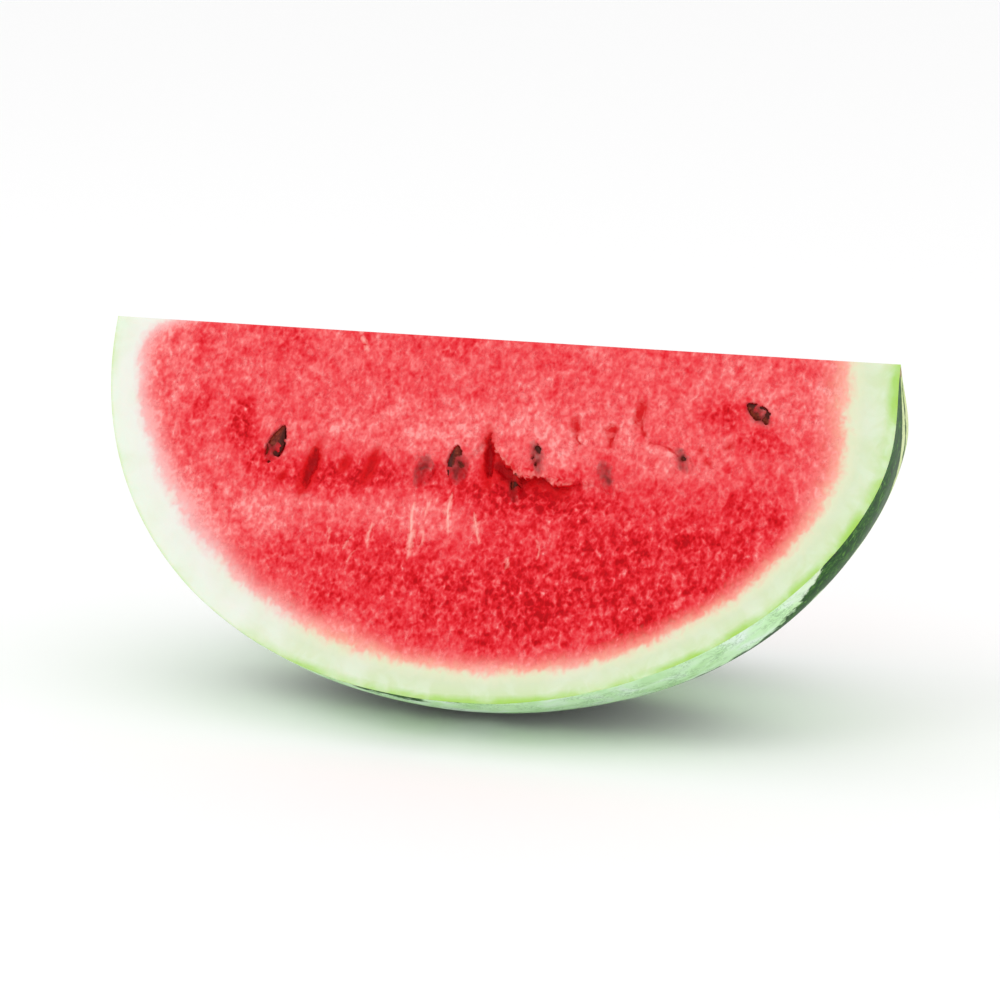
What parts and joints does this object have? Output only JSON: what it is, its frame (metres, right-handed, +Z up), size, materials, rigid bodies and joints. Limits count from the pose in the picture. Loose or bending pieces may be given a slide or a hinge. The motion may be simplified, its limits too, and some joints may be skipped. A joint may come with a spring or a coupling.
{
  "type": "watermelon wedge",
  "caption": "Upright wedge of a round striped watermelon: rounded rind below, two flat cut faces of flesh meeting in a level ridge, with seeds in pockets along each face.",
  "frame": {"origin": "middle of the small flat of rind that the wedge stands on, below the middle of its length", "axes": "+Z up, from the foot to the ridge where the two cut faces meet; +X along the ridge, from the stem end to the blossom end; the two cut faces look towards -Y and +Y"},
  "size_m": [0.2326, 0.105, 0.1046],
  "materials": {
    "flesh_and_rind": "moist red-pink flesh inside a pale rind, with a smooth skin striped dark and light green",
    "seed_coat": "smooth, wet, dark brown"
  },
  "bodies": {
    "root": {"melon_wedge": "flesh_and_rind", "seed_front_1": "seed_coat", "seed_front_2": "seed_coat", "seed_front_3": "seed_coat", "seed_front_4": "seed_coat", "seed_front_5": "seed_coat", "seed_front_6": "seed_coat", "seed_front_7": "seed_coat", "seed_front_8": "seed_coat", "seed_back_1": "seed_coat", "seed_back_2": "seed_coat", "seed_back_3": "seed_coat", "seed_back_4": "seed_coat", "seed_back_5": "seed_coat", "seed_back_6": "seed_coat", "seed_back_7": "seed_coat", "seed_back_8": "seed_coat"}
  },
  "joints": []
}
